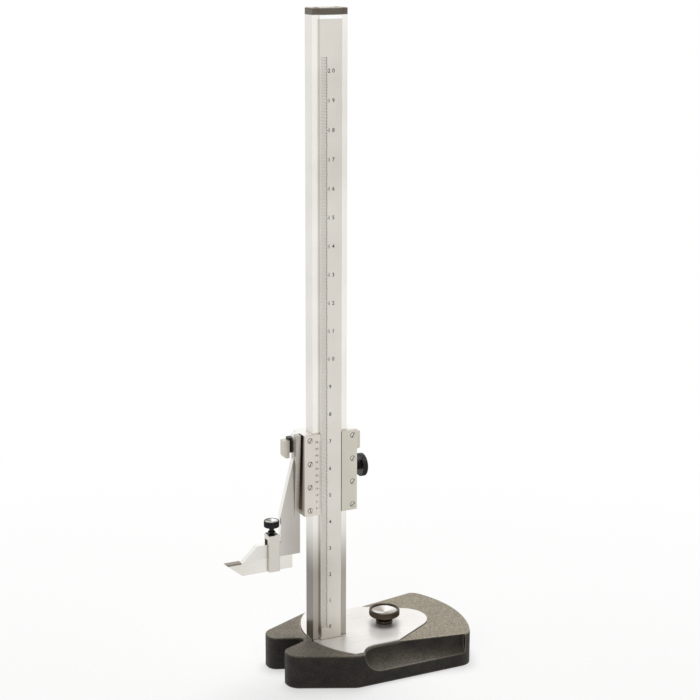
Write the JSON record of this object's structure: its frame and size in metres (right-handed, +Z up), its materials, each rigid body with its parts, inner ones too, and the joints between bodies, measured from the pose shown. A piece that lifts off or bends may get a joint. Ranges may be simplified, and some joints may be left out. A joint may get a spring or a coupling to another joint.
{
  "type": "vernier height gauge",
  "caption": "Upright vernier height gauge: cast base with finger recesses, T-section beam, rack-driven slider with jaw and clamped scriber, and a fine adjustment knob in the base.",
  "frame": {"origin": "underside of the base, straight below the beam's middle line", "axes": "+Z up along the beam, +X along the base away from the scriber, -Y towards the scale's face"},
  "size_m": [0.2377, 0.1136, 0.6055],
  "materials": {
    "cast_iron": "textured",
    "ground_steel": "ground",
    "satin_chrome": "satin",
    "steel": "turned",
    "brass": "turned",
    "black_oxide": "satin",
    "carbide": "ground"
  },
  "bodies": {
    "base": {"base_casting": "cast_iron", "cover_plate": "ground_steel", "cover_screws": "steel", "lever_pin": "steel"},
    "lever": {"fine_lever": "steel"},
    "nut": {"fine_nut": "steel"},
    "fine_drive": {"fine_spindle": "steel", "spindle_collar": "steel", "fine_knob": "black_oxide"},
    "column": {"beam": "satin_chrome", "rack": "steel", "top_cap": "black_oxide", "cap_screws": "steel"},
    "slider": {"jaw_slider": "satin_chrome", "vernier_plate": "satin_chrome", "plain_plate": "satin_chrome", "plate_screws": "steel", "gib": "steel", "gib_screws": "steel", "brake_shoe": "brass", "pinion_cover": "steel", "pinion_cover_screws": "steel", "pinion_bush": "brass", "scriber_clamp": "satin_chrome", "clamp_insert": "black_oxide", "scriber": "satin_chrome", "scriber_tip": "carbide"},
    "coarse_drive": {"pinion_shaft": "steel", "drive_knob": "black_oxide"},
    "lock": {"lock_bar": "steel", "lock_block": "black_oxide", "left_lock_pad": "satin_chrome", "right_lock_pad": "satin_chrome"},
    "thumbscrew": {"clamp_screw": "black_oxide"}
  },
  "joints": [
    {"name": "beam_fine_slide", "type": "slide", "parent": "base", "child": "column", "axis": [0, 0, 1], "range_m": [-0.00075, 0.00075]},
    {"name": "fine_knob_turn", "type": "hinge", "parent": "base", "child": "fine_drive", "pos_m": [0.0618, 0, 0.0456], "axis": [0, 0, 1], "range_deg": [-440, 440]},
    {"name": "fine_lever_rock", "type": "hinge", "parent": "base", "child": "lever", "pos_m": [0.026, 0, 0.0095], "axis": [0, 1, 0], "range_deg": [-1.96, 1.96]},
    {"name": "fine_nut_slide", "type": "slide", "parent": "base", "child": "nut", "axis": [0, 0, 1], "range_m": [-0.00122, 0.00122]},
    {"name": "slider_travel", "type": "slide", "parent": "column", "child": "slider", "axis": [0, 0, 1], "range_m": [-0.1025, 0.36]},
    {"name": "drive_knob_turn", "type": "hinge", "parent": "slider", "child": "coarse_drive", "pos_m": [0.0408, 0.00895, 0.1884], "axis": [1, 0, 0], "continuous": true},
    {"name": "lock_slide", "type": "slide", "parent": "slider", "child": "lock", "axis": [1, 0, 0], "range_m": [-0.0015, 0.0015]},
    {"name": "clamp_screw_turn", "type": "hinge", "parent": "slider", "child": "thumbscrew", "pos_m": [-0.0531, 0.001, 0.1512], "axis": [0, 0, 1], "range_deg": [0, 720]}
  ],
  "couplings": [
    {"joint": "fine_knob_turn", "follows": "beam_fine_slide", "rad_per_m": 10225},
    {"joint": "fine_lever_rock", "follows": "beam_fine_slide", "rad_per_m": 45.455},
    {"joint": "fine_nut_slide", "follows": "beam_fine_slide", "ratio": -1.6273},
    {"joint": "drive_knob_turn", "follows": "slider_travel", "rad_per_m": 204.08}
  ]
}
